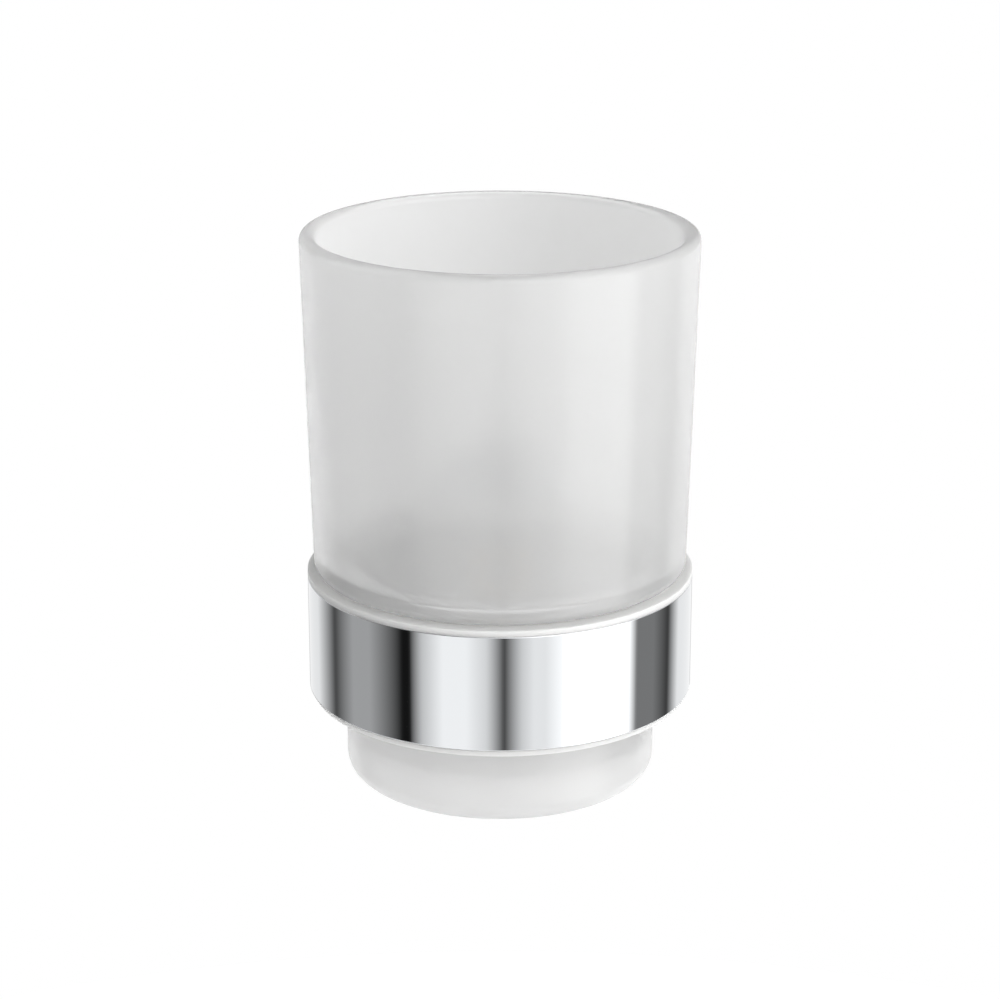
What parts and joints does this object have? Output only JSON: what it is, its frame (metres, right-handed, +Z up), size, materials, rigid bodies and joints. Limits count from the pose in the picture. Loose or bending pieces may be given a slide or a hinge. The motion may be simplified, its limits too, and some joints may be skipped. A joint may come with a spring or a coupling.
{
  "type": "wall-mounted bathroom tumbler",
  "caption": "Frosted stepped glass tumbler that hangs by its shoulder in a lined chrome ring, carried by a post and a round wall rosette; the glass lifts straight out.",
  "frame": {"origin": "on the wall's face, midway between the two wall screws, level with the middle of the ring", "axes": "+Z up, +Y into the wall, +X to the right as seen from the room"},
  "size_m": [0.0756, 0.1328, 0.1086],
  "materials": {
    "frosted_glass": "acid-frosted all over",
    "chrome_plate": "polished chrome on brass",
    "liner_plastic": "moulded, satin, milky",
    "turned_brass": "machined",
    "bracket_steel": "turned",
    "screw_steel": "bright zinc"
  },
  "bodies": {
    "holder": {"holder_ring": "chrome_plate", "seat_ring": "liner_plastic", "guide_ring": "liner_plastic", "saddle_nut": "turned_brass", "support_post": "chrome_plate", "tie_bolt": "screw_steel", "wall_rosette": "chrome_plate", "wall_bracket": "bracket_steel", "grub_screw": "screw_steel", "wall_screw_right": "screw_steel", "wall_screw_left": "screw_steel"},
    "glass": {"tumbler": "frosted_glass"}
  },
  "joints": [
    {"name": "tumbler_lift", "type": "slide", "parent": "holder", "child": "glass", "axis": [0, 0, 1], "range_m": [0, 0.06]}
  ]
}
